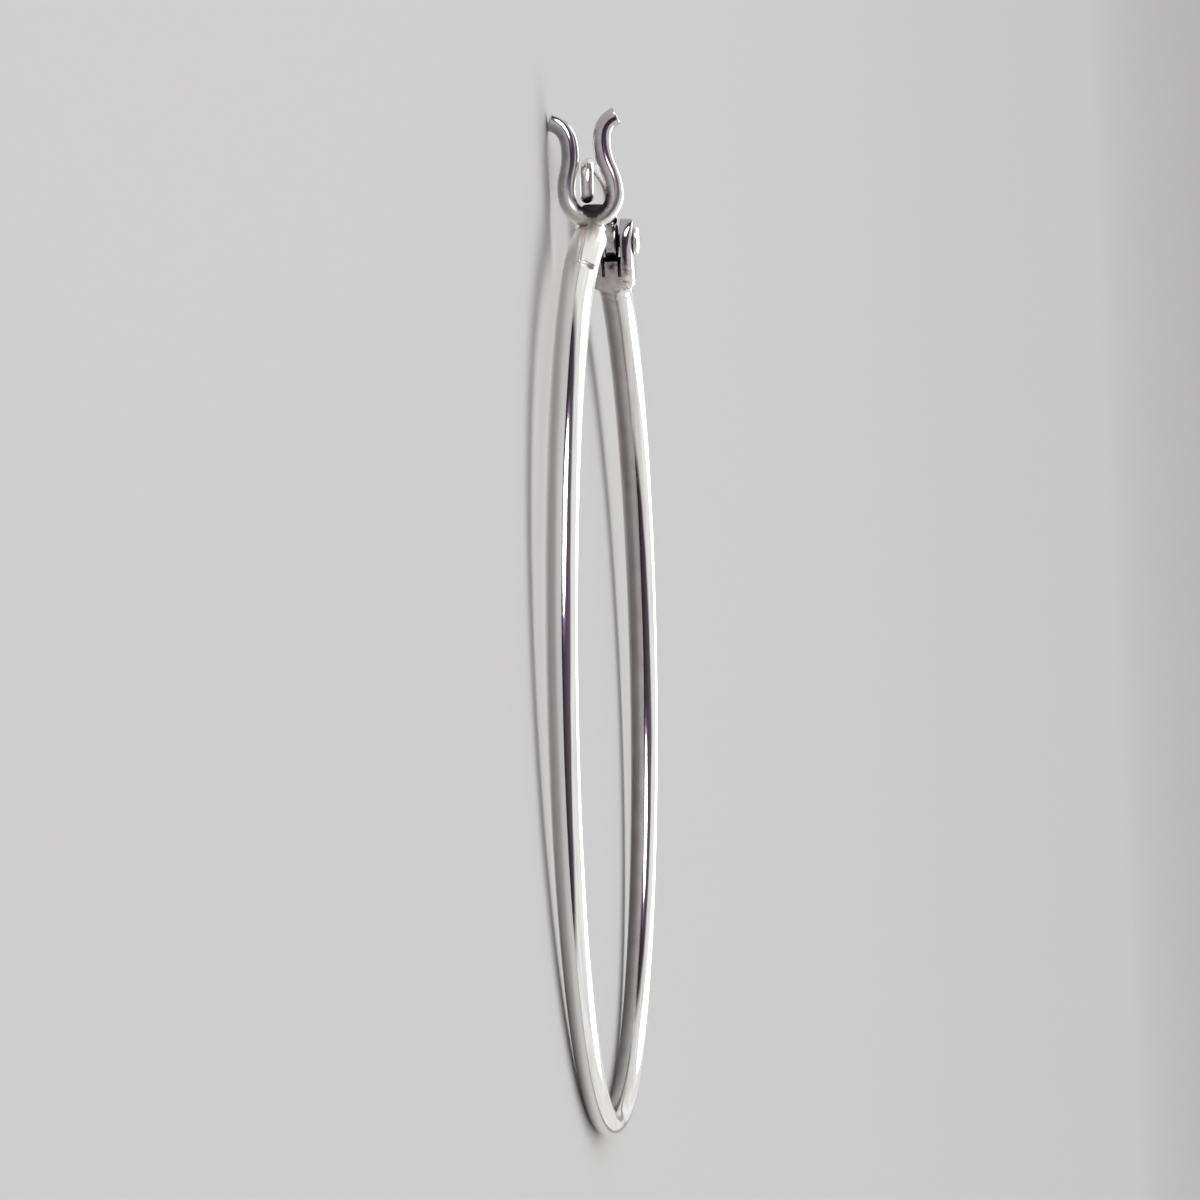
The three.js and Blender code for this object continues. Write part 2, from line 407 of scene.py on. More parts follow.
# %% Silver
brown_tarnish = (0.36, 0.26, 0.2)
grey_tarnish = (0.5, 0.45, 0.46)
thin_film = (0.5, 0.45, 0.48)
# Dull grey of the hoop's inside, which also serves as painted shade on its side towards the table.
dull_inside_and_shade = (0.4, 0.36, 0.35)
# A creamy tint: a painted reflection of a cream surround on the filed foot.
cream_reflection_tint = (0.95, 0.93, 0.87)
# Black painted shade, for the shadow in the catch's bottom and in the hinge's slot.
painted_shade_black = (0.055, 0.047, 0.05)
wave_height = 3.5e-5
stroke_height = 1.6e-7
scratch_depth = 5e-7
prick_depth = 4e-6
tarnish_height = 1.2e-5


def silver(name, colour, roughness, tarnish_spots, film_spots, shade_spots, gap,
           wave=1.0, lines=1.0, inner_film_and_shade=0.0):
    """Silver with its marks and stains, and with painted shade in its hollows. The gap is a slot's side,
    which way is into the metal beside it, the height of its floor and how far from the pin it reaches: its
    walls get painted shade, black as in a shadowed slot."""
    material = bpy.data.materials.new(name)
    material.use_nodes = True
    graph = Graph(material.node_tree)
    surface = material.node_tree.nodes["Principled BSDF"]
    place = graph.node("ShaderNodeTexCoord").outputs["Object"]
    bench, height_on_bench, along, out, across = ring_coordinates(graph, place)

    strokes = texture(graph, graph.vector(along * 0.06, out, across), 0.09 * MM, 3.0, 0.6)
    wander = texture(graph, graph.vector(along * 0.6, out, across), 0.9 * MM, 1.0, 0.5)
    worn = texture(graph, place, 2.5 * MM, 1.0, 0.5)
    hairline = graph.clamp(1 - graph.maths("ABSOLUTE", wander - 0.5) / 0.014)
    scratches = hairline * graph.clamp((worn - 0.46) * 6)
    pits = Num(graph, graph.node("ShaderNodeTexVoronoi", {}, {
        "Vector": place, "Scale": 1 / (0.9 * MM),
    }).outputs["Distance"])
    pricks = graph.clamp(1 - pits / 0.06)
    waves = texture(graph, graph.vector(along * 0.35, out, across), 1.6 * MM, 1.0, 0.4)

    cloud = texture(graph, place, 0.42 * MM, 4.0, 0.62)
    stain = graph.clamp((highest(graph, bench, tarnish_spots) * 1.6 + cloud - 1.05) * 2.2)
    film = graph.clamp(highest(graph, bench, film_spots) * 3) * (0.35 + cloud * 0.9)
    # Painted shade: black in the bottom of the catch and on the hinge slot's walls, where these hollows lie
    # in shadow.
    painted_shade = graph.clamp((highest(graph, bench, shade_spots) * 1.8 + cloud * 0.6 - 0.9) * 3)
    gap_side, outwards, gap_floor, gap_reach = gap
    off_middle = graph.clamp((graph.maths("ABSOLUTE", across) - gap_side) * (outwards / (0.04 * MM)))
    above_floor = graph.clamp((height_on_bench - gap_floor) / (0.03 * MM))
    in_hinge = graph.clamp(spot(graph, bench, pin_on_bench, gap_reach) * 12)
    painted_shade = graph.maths("MAXIMUM", painted_shade, off_middle * above_floor * in_hinge)
    # The filed foot is satin; its creamy tint is a painted reflection of a cream surround.
    satin_and_cream_reflection = graph.clamp(spot(graph, bench, foot_middle, 5.4 * MM) * 2.4)
    # The inside of the hoop is dull, and darker towards its side facing the table: that bias is painted
    # shade, for the shadowed table which that side mirrors.
    inner_low_shade = graph.clamp((hoop_radius - out - across * 0.8) / (0.7 * MM) - 0.2)
    dulled_and_shaded = inner_low_shade * (0.5 + wander * 0.5) * inner_film_and_shade

    warm = blend(graph, cloud, brown_tarnish, grey_tarnish)
    film_and_shade = blend(graph, film, blend(graph, dulled_and_shaded, colour, dull_inside_and_shade), thin_film)
    cream_reflected = blend(graph, satin_and_cream_reflection * 0.6, film_and_shade, cream_reflection_tint)
    stained = blend(graph, stain * 0.85, cream_reflected, warm)
    graph.feed(surface.inputs["Base Color"], blend(graph, painted_shade, stained, painted_shade_black))
    surface.inputs["Metallic"].default_value = 1.0
    haze = graph.clamp(roughness + (strokes - 0.5) * 0.05 * lines + stain * 0.3 + scratches * 0.1
                       + film * 0.05 + dulled_and_shaded * 0.05 + satin_and_cream_reflection * 0.24 + painted_shade * 0.3)
    graph.feed(surface.inputs["Roughness"], haze)

    height = (waves * (wave_height * wave) + strokes * (stroke_height * lines)
              - scratches * scratch_depth - pricks * prick_depth + cloud * stain * tarnish_height)
    bump = graph.node("ShaderNodeBump", {}, {"Strength": 1.0, "Distance": 1.0, "Height": height})
    graph.feed(surface.inputs["Normal"], bump.outputs["Normal"])
    return material


# %% The three silvers
catch_bottom = Vector((-catch_reach, catch_base - catch_thickness / 2, 0))
catch_floor = Vector((-catch_reach, catch_base + catch_thickness / 2, catch_side))
slot_bottom = pin_on_bench - Vector((0.3 * MM, eye_dia / 2 + eye_fit, 0))
tarnish_spots = [
    (catch_bottom, 1.3 * MM, 1.0),
    (pin_on_bench + Vector((0.4 * MM, -1.3 * MM, 0)), 2.1 * MM, 1.0),
]
film_spots = [(catch_floor + Vector((0, 2.6 * MM, 0)), 4.2 * MM, 0.8), (pin_on_bench, 3.0 * MM, 0.9)]
# Painted shade: black spots in the shadowed bottom of the catch and of the hinge's slot.
shade_spots = [
    (catch_floor + Vector((-0.4 * MM, 0.1 * MM, 0)), 1.25 * MM, 1.0),
    (catch_floor + Vector((-catch_depth / 2, 0.55 * MM, 0)), 1.75 * MM, 1.0),
    (slot_bottom, 0.85 * MM, 0.9),
]
foot_angle = -math.asin((catch_reach - foot_start) / hoop_radius) - foot_length / hoop_radius / 2
foot_middle = Vector((math.sin(foot_angle), math.cos(foot_angle), 0)) * (hoop_radius + tube_dia_top / 2)
# Painted shade on the ear wire: black where its tip stands in the shadowed catch and where the eye sits in
# the slot.
wire_shade_spots = [
    (catch_floor + Vector((0, 0.1 * MM, -0.05 * MM)), 1.5 * MM, 0.9),
    (slot_bottom, 0.6 * MM, 0.9),
]
# On all three silvers the gap darkens the hinge's slot with painted shade: its walls, the eye's faces in it
# and the rivet's shank across it.
polished = silver("mirror_silver", (0.93, 0.92, 0.9), 0.075, tarnish_spots, film_spots, shade_spots,
                  (slot_width / 2 + 0.05 * MM, -1, slot_floor - 0.05 * MM, 2.4 * MM), inner_film_and_shade=0.9)
drawn = silver("drawn_silver", (0.9, 0.895, 0.86), 0.13, [(pin_on_bench, 1.6 * MM, 0.9)],
               [(pin_on_bench, 2 * MM, 0.9)], wire_shade_spots,
               (eye_thickness / 2 - 0.04 * MM, 1, 0, 1.5 * MM), wave=0.4)
filed = silver("filed_silver", (0.9, 0.89, 0.86), 0.15, [(pin_on_bench, 2.4 * MM, 0.6)],
               [(pin_on_bench, 1 * MM, 0.2)], shade_spots,
               (slot_width / 2, -1, 0, 2 * MM), wave=1.5, lines=3.0)
print("materials:", [material.name for material in (polished, drawn, filed)])

# %% [markdown]
# ## The tube
# The tube follows a rule: a circle whose thickness falls from the clasp to the far side. That could
# be a torus with its points moved, but a Geometry Nodes tree says it directly. A line of stations is
# laid round the circle, each with the tube's radius at that angle, and a round profile is swept along
# it. The stations are many, because a mirror shows every flat face. The two ends are rounded over a
# short stretch by letting the section shrink there, as a file would.

# %% Tube
def station_share(shape, count):
    """0 to 1 along a row of stations, which lie ten times closer together at the two ends."""
    index = Num(shape, shape.node("GeometryNodeInputIndex").outputs[0])
    even = index / (count - 1)
    return even - shape.sin(even * math.tau) * (0.9 / math.tau)


def rounded_end(shape, distance, rounding, half_width):
    """How much the section shrinks at a distance from an end that is rounded over."""
    inside = shape.maths("MINIMUM", distance / rounding, 1)
    arc = shape.maths("SQRT", shape.maths("MAXIMUM", 1 - (1 - inside) ** 2, 0))
    return shape.maths("MAXIMUM", 1 - rounding / half_width * (1 - arc), 0.04)


def stations(shape, count):
    row = shape.node("GeometryNodeMeshLine", {}, {"Count": count})
    return shape.node("GeometryNodeMeshToCurve", {}, {"Mesh": row.outputs[0]}).outputs[0]


def tapered_ring():
    shape = Shape("tapered_ring", radius="NUMBER", start="NUMBER", end="NUMBER", top_radius="NUMBER",
                  bottom_radius="NUMBER", rounding="NUMBER", stations="COUNT", sides="COUNT",
                  material="MATERIAL")
    radius, start, end = (shape.input(label) for label in ("radius", "start", "end"))
    top, bottom = shape.input("top_radius"), shape.input("bottom_radius")
    share = station_share(shape, shape.input("stations"))
    angle = start + (end - start) * share
    round_hoop = shape.vector(radius * shape.sin(angle), radius * shape.cos(angle), 0)
    thick = bottom + (top - bottom) * ((shape.cos(angle) + 1) / 2)
    length = (end - start) * radius
    nearest = shape.maths("MINIMUM", share, 1 - share) * length
    scale = thick * rounded_end(shape, nearest, shape.input("rounding"), thick)
    row = stations(shape, shape.input("stations"))
    path = shape.node("GeometryNodeSetPosition", {}, {"Geometry": row, "Position": round_hoop})
    circle = shape.node("GeometryNodeCurvePrimitiveCircle", {}, {
        "Resolution": shape.input("sides"), "Radius": 1.0,
    })
    swept = shape.node("GeometryNodeCurveToMesh", {}, {
        "Curve": path.outputs[0], "Profile Curve": circle.outputs[0], "Scale": scale, "Fill Caps": True,
    })
    shape.finish(swept.outputs[0])
    return shape


tube = grow("tube", tapered_ring(), bpy.data.meshes.new("empty"), radius=hoop_radius, start=hinge_end,
            end=math.tau + catch_end, top_radius=tube_dia_top / 2, bottom_radius=tube_dia_bottom / 2,
            rounding=0.12 * MM, stations=500, sides=60, material=polished)
print("tube:", len(tube.data.polygons), "faces,",
      [round(size / MM, 3) for size in tube.dimensions], "mm")

# %% [markdown]
# ## Wires and strips
# Catch, foot, ear wire and solder seams all follow a drawn path. They share one tree:
# it samples the object's own curve at its stations and sweeps a rounded rectangle along it. With its
# corners rounded all the way, that rectangle is a round wire. A little seeded noise in the section
# makes the solder seams look run rather than moulded.

# %% Sweep along the object's own path
def sweep_on_path():
    shape = Shape("sweep_on_path", width="NUMBER", thickness="NUMBER", corner="NUMBER",
                  corner_steps="COUNT", rounding="NUMBER", twist="NUMBER", wobble="NUMBER",
                  seed="NUMBER", stations="COUNT", material="MATERIAL")
    width = shape.input("width")
    drawn_path = shape.entry.outputs["Geometry"]
    share = station_share(shape, shape.input("stations"))
    sample = shape.node("GeometryNodeSampleCurve", {"mode": "FACTOR"}, {
        "Curves": drawn_path, "Factor": share,
    })
    length = Num(shape, shape.node("GeometryNodeCurveLength", {}, {"Curve": drawn_path}).outputs[0])
    nearest = shape.maths("MINIMUM", share, 1 - share) * length
    noisy = shape.node("ShaderNodeTexNoise", {"noise_dimensions": "4D"}, {
        "Vector": sample.outputs["Position"], "W": shape.input("seed"), "Scale": 1 / (0.5 * MM),
    })
    uneven = 1 + (Num(shape, noisy.outputs[0]) - 0.5) * shape.input("wobble")
    scale = rounded_end(shape, nearest, shape.input("rounding"), width / 2) * uneven
    row = stations(shape, shape.input("stations"))
    path = shape.node("GeometryNodeSetPosition", {}, {
        "Geometry": row, "Position": sample.outputs["Position"],
    })
    upright = shape.node("GeometryNodeSetCurveNormal", {"mode": "Z_UP"}, {"Curve": path.outputs[0]})
    twisted = shape.node("GeometryNodeSetCurveTilt", {}, {
        "Curve": upright.outputs[0], "Tilt": shape.input("twist"),
    })
    frame_shape = shape.node("GeometryNodeCurvePrimitiveQuadrilateral", {}, {
        "Width": shape.input("thickness"), "Height": width,
    })
    section = shape.node("GeometryNodeFilletCurve", {"mode": "POLY"}, {
        "Curve": frame_shape.outputs[0], "Radius": shape.input("corner"),
        "Count": shape.input("corner_steps"), "Limit Radius": True,
    })
    swept = shape.node("GeometryNodeCurveToMesh", {}, {
        "Curve": twisted.outputs[0], "Profile Curve": section.outputs[0], "Scale": scale,
        "Fill Caps": True,
    })
    shape.finish(swept.outputs[0])
    return shape


sweeper = sweep_on_path()


def path_curve(name, knots):
    """A Bezier path from knots, each a point with the handle before and the handle after it."""
    curve = bpy.data.curves.new(name, "CURVE")
    curve.dimensions = "3D"
    curve.resolution_u = 48
    spline = curve.splines.new("BEZIER")
    spline.bezier_points.add(len(knots) - 1)
    for point, (before, at, after) in zip(spline.bezier_points, knots):
        point.handle_left_type = point.handle_right_type = "FREE"
        point.handle_left = before
        point.co = at
        point.handle_right = after
    return curve


# %% [markdown]
# ## The catch
# The lyre is a strip of half-hard silver: a half-round belly, arms that close in to a neck the ear
# wire snaps through, and flared tips that guide it in. The path is drawn flat and swept, because its
# curves are smooth Bezier arcs in the real strip too, and then stood up across the hoop, leaning the
# few degrees that the real one does.

# %% Catch
def catch_knots():
    belly = catch_belly_width / 2
    neck = catch_neck_width / 2
    tip = catch_tip_width / 2
    quarter = 0.5523 * belly  # handle that makes a quarter circle
    arm = (catch_neck_height - belly) / 2
    flare = (catch_tip_height - catch_neck_height) / 2
    tip_handle = (tip - flare * math.cos(catch_tip_rise), catch_tip_height - flare * math.sin(catch_tip_rise))
    right_side = [
        ((belly, belly - quarter), (belly, belly), (belly, belly + arm)),
        ((neck, catch_neck_height - arm), (neck, catch_neck_height), (neck, catch_neck_height + flare)),
        (tip_handle, (tip, catch_tip_height), (tip, catch_tip_height)),
    ]
    left_side = [tuple((-x, y) for x, y in reversed(knot)) for knot in reversed(right_side)]
    base = ((-quarter, 0), (0, 0), (quarter, 0))
    return [tuple((x, y, 0) for x, y in knot) for knot in (*left_side, base, *right_side)]


catch = grow("catch", sweeper, path_curve("catch_path", catch_knots()), width=catch_depth,
             thickness=catch_thickness, corner=0.47 * MM, corner_steps=10, rounding=0.1 * MM,
             stations=260, material=polished)
# The path's x runs across the hoop (+Z on the bench), and the strip's width runs along the bench's X.
stand_up = Matrix(((0, 0, 1, 0), (0, 1, 0, 0), (1, 0, 0, 0), (0, 0, 0, 1)))
lean_over = Matrix.Rotation(-catch_lean, 4, "X")
catch.data.transform(Matrix.Translation((-catch_reach, catch_base, catch_side)) @ lean_over @ stand_up)
print("catch:", len(catch.data.polygons), "faces,",
      [round(size / MM, 3) for size in catch.dimensions], "mm")

# %% [markdown]
# ## Foot and solder
# Below the catch a flat strip runs down the tube, a third of the way round towards +Z. It gives the
# joint its strength. Solder has run along both of its edges, across its end and into the wedge under the
# belly. In the bottom of the catch lies a low lump, coloured black as painted shade for the shadowed
# hollow there. Sculpting could draw such runs, but all of these can be the same sweep with other
# numbers: a thin uneven wire, half sunk in the silver, reads as solder that has flowed.

# %% Foot and solder
def ring_arc(radius, height, start, end):
    """Path along part of a circle about the hoop's axis, from one angle to another."""
    pull = 4 / 3 * math.tan((end - start) / 4) * radius
    knots = []
    for angle in (start, end):
        at = Vector((radius * math.sin(angle), radius * math.cos(angle), height))
        ahead = Vector((math.cos(angle), -math.sin(angle), 0)) * pull
        knots.append((at - ahead, at, at + ahead))
    return knots


def beside_tube(out, about, start, end):
    """Path along the tube at a distance from its middle line, turned about it from its outer side."""
    return ring_arc(hoop_radius + out * math.cos(about), out * math.sin(about), start, end)


def straight(a, b):
    third = (Vector(b) - Vector(a)) / 3
    return [(Vector(a), Vector(a), Vector(a) + third), (Vector(b) - third, Vector(b), Vector(b))]


def bead(name, knots, width, thickness, seed, wobble=0.7):
    return grow(name, sweeper, path_curve(name + "_path", knots), width=width, thickness=thickness,
                corner=thickness * 0.499, corner_steps=6, rounding=width / 2, wobble=wobble, seed=seed,
                stations=60, material=polished)


foot_high = -math.asin((catch_reach - foot_start) / hoop_radius)
foot_low = foot_high - foot_length / hoop_radius
foot_outer = tube_radius(foot_low) + foot_proud
foot = grow("foot", sweeper,
            path_curve("foot_path", beside_tube(foot_outer - foot_thickness / 2, foot_turn,
                                                foot_low, foot_high)),
            width=foot_width, thickness=foot_thickness, corner=0.07 * MM, corner_steps=4,
            rounding=0.12 * MM, twist=foot_turn, stations=100, material=polished)

edge_turn = math.asin(foot_width / 2 / (foot_outer - foot_proud * 0.6))
seam_out = foot_outer - foot_proud * 0.75
fillet_height = catch_base - catch_thickness / 2 - 0.06 * MM
beads = [
    bead("seam_left", beside_tube(seam_out, foot_turn - edge_turn, foot_low, foot_high - 0.02),
         0.16 * MM, 0.16 * MM, 1.0),
    bead("seam_right", beside_tube(seam_out, foot_turn + edge_turn, foot_low, foot_high - 0.02),
         0.18 * MM, 0.18 * MM, 2.0),
    bead("base_fillet", straight((-catch_reach - 0.5 * MM, fillet_height, 0.16 * MM),
                                 (-catch_reach + 0.62 * MM, fillet_height, 0.16 * MM)),
         1.5 * MM, 0.5 * MM, 3.0, wobble=0.35),
]
ends = [beside_tube(seam_out, foot_turn + side * edge_turn, foot_low, foot_high)[0][1]
        for side in (-1, 1)]
over = beside_tube(seam_out / math.cos(edge_turn), foot_turn, foot_low, foot_high)[0][1]
beads.append(bead("seam_end", [(ends[0], ends[0], ends[0].lerp(over, 0.6)),
                               (ends[1].lerp(over, 0.6), ends[1], ends[1])],
                  0.13 * MM, 0.13 * MM, 4.0))
# A low lump in the bottom of the catch, black from the painted shade spots, stands for the shadow in that
# hollow.
shade_pool_height = catch_base + catch_thickness / 2 - 0.08 * MM
beads.append(bead("solder_pool", straight((-catch_reach - 0.58 * MM, shade_pool_height, catch_side),
                                          (-catch_reach + 0.55 * MM, shade_pool_height, catch_side)),
                  1.5 * MM, 0.78 * MM, 5.0, wobble=0.1))
print("foot:", len(foot.data.polygons), "faces; solder:", len(beads), "beads")

# %% [markdown]
# ## The fork
# The hinge's fork grows out of the tube's end: round like the tube and a little proud of it, as the
# soldered collar is, then over a shoulder to a wide, squarish knuckle about the rivet. It could be a
# box with its edges rounded, but then the shoulder would have to be blended in by hand. A loft does
# both: sections along a bent middle line, each a superellipse whose exponent goes from 2, a circle, to
# almost 5, nearly a rounded square. The shoulder is roughened with a little noise, where solder ran.
#
# The slot for the ear wire's eye, the bore and the two thin cuts that the saw left at the slot's
# corners are taken out with booleans, because the real ones are sawn and drilled. A small stop closes
# the slot behind the eye. The edges where two skins meet are kept sharp: smooth shading across them
# would show as a smear in a mirror.

# %% Loft
def smoothstep(value):
    value = min(max(value, 0), 1)
    return value * value * (3 - 2 * value)


def tube_point(angle):
    return Vector((hoop_radius * math.sin(angle), hoop_radius * math.cos(angle), 0))


def squarish(height, width, power, turn_at):
    c, s = math.cos(turn_at), math.sin(turn_at)
    return (math.copysign(abs(c) ** (2 / power), c) * height,
            math.copysign(abs(s) ** (2 / power), s) * width)


def loft(name, sections, sides, material):
    """A closed body through sections, each a middle, a direction across, two half sizes and a power."""
    shell = bmesh.new()
    rings = []
    for middle, across, height, width, power in sections:
        ring = []
        for side in range(sides):
            h, w = squarish(height, width, power, math.tau * side / sides)
            ring.append(shell.verts.new(middle + across * h + Vector((0, 0, w))))
        rings.append(ring)
    for lower, upper in zip(rings, rings[1:]):
        for side in range(sides):
            after = (side + 1) % sides
            shell.faces.new((lower[side], lower[after], upper[after], upper[side]))
    shell.faces.new(rings[0])
    shell.faces.new(rings[-1])
    return finished_mesh(name, shell, material)


def finished_mesh(name, shell, material):
    """Merges doubles, turns the faces outwards and makes the object."""
    bmesh.ops.remove_doubles(shell, verts=shell.verts, dist=1e-8)
    bmesh.ops.recalc_face_normals(shell, faces=shell.faces)
    mesh = bpy.data.meshes.new(name)
    shell.to_mesh(mesh)
    shell.free()
    mesh.materials.append(material)
    piece = bpy.data.objects.new(name, mesh)
    bpy.context.scene.collection.objects.link(piece)
    return piece


# %% Fork sections
def fork_sections():
    """From under the collar, along the tube's end, over the shoulder and round the knuckle."""
    root = tube_radius(hinge_end)
    knuckle = knuckle_dia / 2
    tube_end = tube_point(hinge_end)
    along_tube = Vector((-math.cos(hinge_end), math.sin(hinge_end), 0))
    bend = tube_end + along_tube * 0.9 * MM
    sections = []
    for step in range(14):
        share = step / 14
        angle = hinge_end + (1 - share) * 0.8 * MM / hoop_radius
        size = root - 0.03 * MM + 0.04 * MM * share
        sections.append((tube_point(angle), tube_point(angle).normalized(), size, size, 2))
    for step in range(41):
        share = step / 40
        middle = tube_end.lerp(bend, share).lerp(bend.lerp(pin_on_bench, share), share)
        ahead = bend.lerp(pin_on_bench, share) - tube_end.lerp(bend, share)
        outward = Vector((ahead.y, -ahead.x, 0)).normalized()
        shoulder = smoothstep((share - 0.26) / 0.14)
        neck = root + 0.01 * MM + 0.16 * MM * min(share / 0.26, 1) ** 2.5
        height = neck * (1 - shoulder) + shoulder * (knuckle - 0.13 * MM * (1 - smoothstep(share)))
        width = neck * (1 - shoulder) + shoulder * fork_width / 2
        sections.append((middle, outward, height, width, 2 + 2.6 * shoulder))
    last_ahead = (pin_on_bench - bend).normalized()
    for step in range(1, 17):
        swing = math.pi / 2 * step / 16
        height = max(knuckle * math.cos(swing), 0.02 * MM)
        sections.append((pin_on_bench + last_ahead * knuckle * math.sin(swing), outward, height,
                         fork_width / 2, 4.6))
    return sections


# %% Blocks, turned pieces and booleans
def roughen(piece, centre, reach, amount, size):
    """Moves a piece's points in and out by noise of a size, less the further from a centre."""
    normals = [vertex.normal.copy() for vertex in piece.data.vertices]
    for vertex, normal in zip(piece.data.vertices, normals):
        near = smoothstep(1.4 * (1 - (vertex.co - centre).length / reach))
        vertex.co += normal * (amount * near * noise.fractal(vertex.co / size, 1.0, 2.0, 2))


def block(name, centre, sizes):
    shell = bmesh.new()
    bmesh.ops.create_cube(shell, size=1, matrix=Matrix.Translation(centre) @ Matrix.Diagonal((*sizes, 1)))
    return finished_mesh(name, shell, polished)


def turned(name, profile, steps, material):
    """Turns (radius, height) points about the pin's axis. Points with no radius are its poles."""
    shell = bmesh.new()
    rings = []
    for radius, height in profile:
        count = steps if radius > 0 else 1
        rings.append([shell.verts.new(pin_on_bench + Vector((radius * math.cos(math.tau * step / steps),
                                                             radius * math.sin(math.tau * step / steps),
                                                             height)))
                      for step in range(count)])
    for lower, upper in zip(rings, rings[1:]):
        for step in range(steps):
            after = (step + 1) % steps
            corners = [lower[step % len(lower)], lower[after % len(lower)],
                       upper[after % len(upper)], upper[step % len(upper)]]
            shell.faces.new(list(dict.fromkeys(corners)))
    return finished_mesh(name, shell, material)


def joined(name, base, others, operation):
    """The base with the others welded on or cut away, sharp where their skins meet. Operands go."""
    shape = Shape(operation.lower() + "_" + name, material="MATERIAL")
    skins = []
    for piece in (base, *others):
        info = shape.node("GeometryNodeObjectInfo", {}, {"Object": piece})
        skins.append(info.outputs["Geometry"])
    weld = shape.node("GeometryNodeMeshBoolean", {"operation": operation, "solver": "EXACT"})
    if operation == "DIFFERENCE":
        shape.feed(weld.inputs["Mesh 1"], skins.pop(0))
    for skin in skins:
        shape.feed(weld.inputs["Mesh 2"], skin)
    edged = shape.node("GeometryNodeSetShadeSmooth", {"domain": "EDGE"}, {
        "Geometry": weld.outputs["Mesh"], "Selection": weld.outputs["Intersecting Edges"],
        "Shade Smooth": False,
    })
    shape.finish(edged.outputs[0])
    result = grow(name, shape, bpy.data.meshes.new("empty"), material=base.data.materials[0])
    for piece in (base, *others):
        bpy.data.objects.remove(piece)
    return result


# %% Fork
bore_radius = pin_dia / 2 + pin_fit
slot_top = pin_height + knuckle_dia
slot_block = block("slot", Vector((hinge_reach, (slot_floor + slot_top) / 2, 0)),
                   (4 * knuckle_dia, slot_top - slot_floor, slot_width))
bore = turned("bore", [(0, -fork_width), (bore_radius, -fork_width), (bore_radius, fork_width),
                       (0, fork_width)], 48, polished)
fork_blank = loft("fork_blank", fork_sections(), 96, polished)
shoulder_middle = tube_point(hinge_end) + Vector((-0.7 * MM, 0.5 * MM, 0))
roughen(fork_blank, shoulder_middle, 2.2 * MM, 0.06 * MM, 0.5 * MM)
saw_cuts = []
for side in (-1, 1):
    cut_middle = (hinge_reach - 1.2 * MM, slot_floor - 0.35 * MM, side * (slot_width - eye_fit) / 2)
    saw_cuts.append(block("saw_cut", Vector(cut_middle), (4.2 * MM, 1.0 * MM, eye_fit)))
fork = joined("fork", fork_blank, [slot_block, bore, *saw_cuts], "DIFFERENCE")
stop = block("stop", Vector((hinge_reach + 1.12 * MM, slot_floor + 0.12 * MM, 0)),
             (0.26 * MM, 0.52 * MM, slot_width + 0.2 * MM))
print("fork:", len(fork.data.polygons), "faces,", [round(size / MM, 2) for size in fork.dimensions], "mm")

# %% [markdown]
# ## One soldered body
# Tube, catch, foot, solder and fork are one piece of metal, so they are welded into one closed mesh.
# Leaving them as overlapping shells would look the same from outside, but the piece would not be one
# solid. Shading is smooth except along the welds and across edges sharper than a limit: without that
# limit the flat end of a strip would be shaded as if it were round.

# %% Hoop body
def settle(piece, sharp_degrees):
    """Puts a piece on the table, in its points, and shades it smooth up to an angle."""
    mesh = piece.data
    mesh.transform(TABLE)
    met = [edge.use_edge_sharp for edge in mesh.edges]
    mesh.shade_smooth()
    mesh.set_sharp_from_angle(angle=math.radians(sharp_degrees))
    for edge, sharp in zip(mesh.edges, met):
        edge.use_edge_sharp = edge.use_edge_sharp or sharp
    return piece


hoop_body = joined("hoop_body", tube, [catch, foot, fork, stop, *beads], "UNION")
settle(hoop_body, 40)
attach(hoop_body, "hoop")
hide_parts("hoop")
print("hoop body:", len(hoop_body.data.polygons), "faces")

# %% [markdown]
# ## The ear wire
# The wire stands in the catch, bends over and runs in one arch to the hinge, where its end is
# flattened to a drilled eye. A curve with a round bevel would do for the wire, but the sweep also
# rounds its tip, as a wire that goes through an ear has to be. The path is a straight, a quarter circle
# and one long Bezier arch. The eye is turned like a washer with soft edges and welded to the wire, and
# its bore is cut last, through both.

# %% Ear wire
def ear_wire_knots():
    tip_side = catch_side - catch_neck_height * math.sin(catch_lean)
    tip_height = catch_base + catch_thickness / 2 + tip_fit + wire_dia / 2
    quarter = 0.5523 * wire_bend
    # The rounded end reaches half a wire past the middle of the tip.
    tip = Vector((-catch_reach, tip_height - wire_dia / 2, tip_side))
    bend_low = Vector((-catch_reach, wire_top - wire_bend, tip_side))
    bend_high = Vector((wire_bend - catch_reach, wire_top, tip_side))
    eye_end = pin_on_bench + Vector((0, eye_dia * 0.42, 0))
    span = eye_end.x - bend_high.x
    rise = wire_top - eye_end.y
    third = (bend_low - tip) / 3
    return [
        (tip, tip, tip + third),
        (bend_low - third, bend_low, bend_low + Vector((0, quarter, 0))),
        (bend_high - Vector((quarter, 0, 0)), bend_high, bend_high + Vector((arch_reach * span, 0, 0))),
        (eye_end + Vector((0, arch_rise * rise, 0)), eye_end, eye_end),
    ]


def soft_disc(radius, thickness, edge):
    """Profile of a disc with rounded edges, from the middle of one face to that of the other."""
    half = thickness / 2
    upper = [(radius - edge + edge * math.cos(angle), half - edge + edge * math.sin(angle))
             for angle in (math.radians(15 * step) for step in range(7))]
    upper.append((0, half))
    return [(out, -height) for out, height in reversed(upper)] + upper


